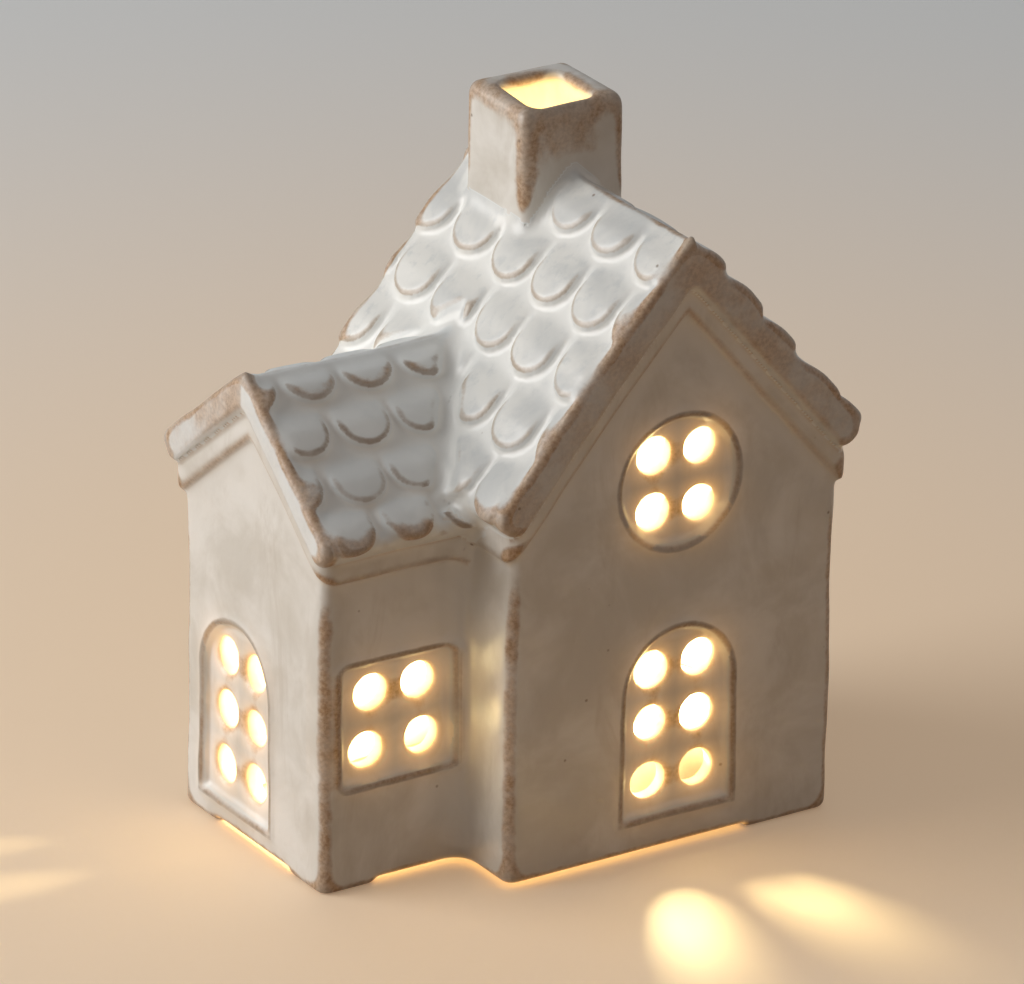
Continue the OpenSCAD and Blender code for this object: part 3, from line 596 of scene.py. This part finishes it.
# ---------------------------------------------------------------- materials
class Nodes:
    """A short way to write a material's nodes, each call giving the socket it ends in."""

    def __init__(self, name):
        self.mat = bpy.data.materials.new(name)
        self.mat.use_nodes = True
        self.tree = self.mat.node_tree
        self.tree.nodes.clear()
        self.out = self.tree.nodes.new("ShaderNodeOutputMaterial")

    def add(self, kind, inputs=None, **props):
        node = self.tree.nodes.new("ShaderNode" + kind)
        for key, value in props.items():
            setattr(node, key, value)
        for key, value in (inputs or {}).items():
            self.put(node.inputs[key], value)
        return node

    def put(self, socket, value):
        if isinstance(value, bpy.types.NodeSocket):
            self.tree.links.new(value, socket)
        elif isinstance(value, (tuple, list)) and len(value) == 3 and socket.type == "RGBA":
            socket.default_value = (*value, 1)
        else:
            socket.default_value = value

    def math(self, op, a, b):
        return self.add("Math", {0: a, 1: b}, operation=op).outputs[0]

    def range(self, value, lo, hi, to_lo=0.0, to_hi=1.0):
        return self.add("MapRange", {"Value": value, "From Min": lo, "From Max": hi,
                                     "To Min": to_lo, "To Max": to_hi},
                        interpolation_type="SMOOTHSTEP").outputs[0]

    def mix(self, fac, a, b):
        node = self.add("Mix", data_type="RGBA")
        self.put(node.inputs[0], fac)
        self.put(node.inputs[6], a)
        self.put(node.inputs[7], b)
        return node.outputs[2]

    def noise(self, where, scale, detail=3.0, rough=0.55, distort=0.0):
        return self.add("TexNoise", {"Vector": where, "Scale": scale, "Detail": detail,
                                     "Roughness": rough, "Distortion": distort}).outputs[0]

    def bump(self, height, strength, distance, normal=None):
        inputs = {"Height": height, "Strength": strength, "Distance": distance}
        if normal is not None:
            inputs["Normal"] = normal
        return self.add("Bump", inputs).outputs[0]

    def place(self, stretch=(1, 1, 1)):
        co = self.add("TexCoord").outputs["Object"]
        return self.add("Mapping", {"Vector": co, "Scale": Vector(stretch)}).outputs[0]

    def finish(self, shader):
        self.tree.links.new(shader, self.out.inputs[0])
        return self.mat


def glaze_material():
    """The attribute holds fine and wide convexity, painted light for the holes, the flue and
    the foot (below 0, the brown lines and verge faces, partly painted shade), and the roof.
    """
    n = Nodes("reactive_glaze")
    at = n.place()
    tall = n.place((1, 1, 0.32))
    attribute = n.add("Attribute", attribute_name="glaze")
    sep = n.add("SeparateColor", {0: attribute.outputs["Color"]})
    fine, wide = sep.outputs[0], sep.outputs[1]
    painted_glow = n.math("MAXIMUM", sep.outputs[2], 0.0)
    clay_and_painted_shade_mask = n.math("MAXIMUM", n.math("MULTIPLY", sep.outputs[2], -1.0), 0.0)
    roof = attribute.outputs["Alpha"]

    cloud = n.noise(at, 62, 4, 0.6, 0.4)
    runs = n.noise(tall, 120, 5, 0.65, 0.8)
    small = n.noise(at, 420, 4, 0.6)
    grain = n.noise(at, 1500, 3, 0.6)

    # walls: warm cream with greyer, thinner places; roofs: pooled white
    cream = n.mix(n.range(cloud, 0.36, 0.66), (0.66, 0.63, 0.575), (0.81, 0.79, 0.75))
    cream = n.mix(n.range(runs, 0.5, 0.75, 0, 0.5), cream, (0.56, 0.515, 0.45))
    white = n.mix(n.range(cloud, 0.35, 0.65), (0.66, 0.675, 0.67), (0.83, 0.83, 0.80))
    white = n.mix(n.range(small, 0.5, 0.72, 0, 0.45), white, (0.57, 0.60, 0.61))
    base = n.mix(roof, cream, white)
    # painted light: the wing roof is tinted a cool bluish white for the sky light on its slope,
    # which faces front and up
    main = n.range(roof, 0.86, 0.99)
    wing = n.math("SUBTRACT", n.range(roof, 0.5, 0.8), main)
    base = n.mix(n.math("MULTIPLY", wing, 0.6), base, (0.86, 0.91, 0.93))

    # thick glaze in the hollows is whiter
    pooled = n.range(n.math("ADD", wide, n.math("MULTIPLY", small, 0.12)), 0.06, -0.16)
    base = n.mix(n.math("MULTIPLY", pooled, 0.75), base,
                 n.mix(roof, (0.77, 0.75, 0.71), (0.88, 0.885, 0.86)))

    # thin glaze lets the brown clay through: on the tiles' rims, and more on the corners
    ragged = n.math("SUBTRACT", small, 0.5)
    rim = n.range(n.math("ADD", fine, n.math("MULTIPLY", ragged, 0.10)), 0.085, 0.21)
    rim = n.math("MULTIPLY", rim, n.range(cloud, 0.3, 0.62, 0.45, 0.95))
    # the rims' brown itself is thin glaze; its darker tone on the wing roof and the walls than
    # on the main roof is painted shade
    base = n.mix(rim, base, n.mix(grain, n.mix(main, (0.24, 0.17, 0.115), (0.36, 0.27, 0.19)),
                                  n.mix(main, (0.42, 0.34, 0.27), (0.60, 0.52, 0.43))))
    out = n.math("ADD", wide, n.math("MULTIPLY", ragged, 0.25))
    edge = n.math("MULTIPLY", n.range(out, 0.46, 0.66), n.range(out, 0.72, 1.0, 1.0, 0.35))
    worn = n.range(n.noise(at, 150, 3, 0.6), 0.3, 0.62, 0.55, 1.0)
    # the brown lines and verge faces: partly thin glaze, partly painted shade in the grooves
    # and on the front verge
    clay_and_painted_shade_mask = n.math("MULTIPLY", clay_and_painted_shade_mask, n.range(cloud, 0.34, 0.6, 0.35, 1.0))
    edge = n.math("MAXIMUM", edge, clay_and_painted_shade_mask)
    brown = n.mix(n.range(grain, 0.3, 0.7), (0.33, 0.19, 0.098), (0.55, 0.385, 0.25))
    base = n.mix(n.math("MULTIPLY", edge, worn), base, brown)

    # iron specks
    dots = n.add("TexVoronoi", {"Vector": at, "Scale": 260, "Randomness": 1.0})
    speck = n.range(dots.outputs["Distance"], 0.11, 0.03)
    pick = n.range(n.add("SeparateColor", {0: dots.outputs["Color"]}).outputs[0],
                   0.90, 0.93)
    speck = n.math("MULTIPLY", speck, pick)
    base = n.mix(n.math("MULTIPLY", speck, 0.75), base, (0.20, 0.125, 0.075))

    rough = n.range(n.math("ADD", small, edge), 0.3, 1.3, 0.30, 0.50)
    normal = n.bump(n.noise(at, 330, 3, 0.5), 0.22, 0.0004)
    normal = n.bump(grain, 0.12, 0.0001, normal)
    normal = n.bump(speck, 0.35, -0.0002, normal)
    # the emission is painted light: round the light holes, in the flue and along the foot,
    # standing in for the diode's light
    shader = n.add("BsdfPrincipled", {
        "Base Color": base, "Roughness": rough, "Normal": normal, "IOR": 1.5,
        "Coat Weight": 0.28, "Coat Roughness": 0.17,
        "Emission Color": n.mix(n.range(painted_glow, 1.0, 2.0), (1.0, 0.48, 0.12), (1.0, 0.66, 0.20)),
        "Emission Strength": n.math("MULTIPLY", painted_glow, 0.40)})
    return n.finish(shader.outputs[0])


def plastic(name, colour, rough, vary=0.06, emission=None, strength=0.0):
    n = Nodes(name)
    at = n.place()
    cloud = n.noise(at, 180, 3, 0.55)
    dark = tuple(c * (1 - 2.4 * vary) for c in colour)
    light = tuple(min(1, c * (1 + vary)) for c in colour)
    base = n.mix(n.range(cloud, 0.3, 0.7), dark, light)
    fine = n.noise(at, 4200, 2, 0.5)
    inputs = {"Base Color": base, "IOR": 1.47,
              "Roughness": n.range(cloud, 0.2, 0.8, rough - 0.05, rough + 0.07),
              "Normal": n.bump(fine, 0.18, 0.00004)}
    if emission:
        inputs["Emission Color"] = emission
        inputs["Emission Strength"] = strength
    return n.finish(n.add("BsdfPrincipled", inputs).outputs[0])


def metal(name, colour, rough, stretch):
    n = Nodes(name)
    at = n.place(stretch)
    lines = n.noise(at, 900, 4, 0.6)
    stain = n.noise(n.place(), 260, 3, 0.6)
    base = n.mix(n.range(stain, 0.4, 0.75), colour, tuple(c * 0.78 for c in colour))
    shader = n.add("BsdfPrincipled", {
        "Base Color": base, "Metallic": 1.0,
        "Roughness": n.range(lines, 0.25, 0.75, rough - 0.08, rough + 0.12),
        "Normal": n.bump(lines, 0.25, 0.00003)})
    return n.finish(shader.outputs[0])


def dress(node, material):
    for slot in NODES[node].material_slots:
        slot.material = material


def dress_light():
    ivory = plastic("ivory_moulded", (0.86, 0.81, 0.70), 0.42)
    base = plastic("ivory_base", (0.80, 0.755, 0.65), 0.48)
    door = plastic("ivory_door", (0.77, 0.725, 0.62), 0.5)
    dark = plastic("dark_moulded", (0.045, 0.045, 0.05), 0.5, 0.15)
    dress("light_cup", ivory)
    dress("base_plate", base)
    dress("battery_door", door)
    dress("switch_knob", dark)
    dress("switch_retainer", plastic("dark_retainer", (0.06, 0.06, 0.065), 0.55, 0.12))
    dress("flame_lens", plastic("flame_frosted", (1.0, 0.78, 0.42), 0.38, 0.04,
                                (1.0, 0.56, 0.16), 3.0))
    dress("led_lamp", plastic("led_resin", (1.0, 0.92, 0.7), 0.15, 0.02,
                              (1.0, 0.78, 0.42), 12.0))
    dress("coin_cell", metal("cell_steel", (0.66, 0.67, 0.68), 0.30, (0.1, 0.8, 1)))
    dress("door_screw", metal("zinc_screw", (0.52, 0.53, 0.55), 0.36, (1, 1, 4)))
    brass = metal("contact_brass", (0.74, 0.60, 0.32), 0.3, (0.3, 2, 1))
    for node in ("contact_negative", "contact_positive", "contact_lamp", "switch_wiper"):
        dress(node, brass)


# ---------------------------------------------------------------- the set
def floor():
    mesh = bpy.data.meshes.new("floor")
    s = 6.0
    mesh.from_pydata([(-s, -s, 0), (s, -s, 0), (s, s, 0), (-s, s, 0)], [], [(0, 1, 2, 3)])
    obj = bpy.data.objects.new("floor", mesh)
    bpy.context.scene.collection.objects.link(obj)
    n = Nodes("pale_floor")
    path = n.add("LightPath")
    seen = n.math("MAXIMUM", path.outputs["Is Camera Ray"], path.outputs["Is Glossy Ray"])
    seen = n.math("MAXIMUM", seen, path.outputs["Is Transmission Ray"])
    # warm beige round the house, light grey further away
    at = n.add("TexCoord").outputs["Object"]
    away = n.range(n.add("VectorMath", {0: at}, operation="LENGTH").outputs["Value"],
                   0.06, 0.42)
    pale = n.mix(away, (0.86, 0.70, 0.53), (0.78, 0.78, 0.78))
    shader = n.add("BsdfPrincipled", {
        "Base Color": n.mix(seen, (0.46, 0.33, 0.22), pale), "Roughness": 0.6,
        "Specular IOR Level": 0.2,
        "Emission Color": n.mix(away, (0.22, 0.155, 0.10), (0.085, 0.10, 0.108)),
        "Emission Strength": seen})
    mesh.materials.append(n.finish(shader.outputs[0]))


def area(name, place, aim, size, power, colour):
    light = bpy.data.lights.new(name, "AREA")
    light.shape, light.size, light.energy, light.color = "DISK", size, power, colour
    obj = bpy.data.objects.new(name, light)
    bpy.context.scene.collection.objects.link(obj)
    obj.location = place
    obj.rotation_euler = (Vector(aim) - Vector(place)).to_track_quat("-Z", "Y").to_euler()


HORIZON, ZENITH, BACKDROP = (0.080, 0.060, 0.042), (0.275, 0.275, 0.275), (0.45, 0.455, 0.46)
LAMP = np.array([34.2, 24.5, 22.6])  # where the flame is brightest


def lamps():
    world = bpy.data.worlds.new("studio")
    world.use_nodes = True
    bpy.context.scene.world = world
    tree = world.node_tree
    back = tree.nodes["Background"]
    path = tree.nodes.new("ShaderNodeLightPath")
    up = tree.nodes.new("ShaderNodeSeparateXYZ")
    tree.links.new(tree.nodes.new("ShaderNodeTexCoord").outputs["Generated"], up.inputs[0])
    mixes = [(up.outputs["Z"], ZENITH)]
    mixes += [(path.outputs[ray], BACKDROP)
              for ray in ("Is Camera Ray", "Is Glossy Ray", "Is Transmission Ray")]
    ambient = None
    for factor, colour in mixes:
        mix = tree.nodes.new("ShaderNodeMix")
        mix.data_type = "RGBA"
        if ambient:
            tree.links.new(ambient, mix.inputs[6])
        else:
            mix.inputs[6].default_value = (*HORIZON, 1)
        mix.inputs[7].default_value = (*colour, 1)
        tree.links.new(factor, mix.inputs[0])
        ambient = mix.outputs[2]
    tree.links.new(ambient, back.inputs["Color"])
    area("key", (-0.90, 0.48, 0.38), (0, 0, 0.05), 1.0, 10.6, (1.0, 0.985, 0.96))
    area("fill", (0.25, -1.3, 0.5), (0, 0, 0.05), 1.2, 0.9, (1.0, 0.56, 0.27))

    # the lit diode: its lamp shines through the lens and the diode's own resin
    led = bpy.data.lights.new("led_light", "POINT")
    led.energy, led.shadow_soft_size, led.color = 0.6, 0.003, (1.0, 0.83, 0.44)
    obj = bpy.data.objects.new("led_light", led)
    bpy.context.scene.collection.objects.link(obj)
    obj.location = ((LAMP - MID) / 1000).tolist()
    blockers = bpy.data.collections.new("led_blockers")
    obj.light_linking.blocker_collection = blockers
    for i, node in enumerate(("flame_lens", "led_lamp")):
        blockers.objects.link(NODES[node])
        blockers.collection_objects[i].light_linking.link_state = "EXCLUDE"


def camera():
    cam = bpy.data.cameras.new("camera")
    cam.lens, cam.sensor_width = 351.5625, 36
    cam.clip_start, cam.clip_end = 0.1, 50
    obj = bpy.data.objects.new("camera", cam)
    bpy.context.scene.collection.objects.link(obj)
    eye = Vector((-0.8069238, -1.2352534, 0.7025473))
    ahead = Vector((0.5007486, 0.7667143, -0.4017462))
    turn = (ahead.to_track_quat("-Z", "Y").to_matrix()
            @ Matrix.Rotation(math.radians(1.04886), 3, "Z"))
    obj.matrix_world = Matrix.Translation(eye) @ turn.to_4x4()
    bpy.context.scene.camera = obj


camera()
floor()
lamps()
dress_light()
build_house(glaze_material())
bpy.context.scene.view_settings.view_transform = "Standard"
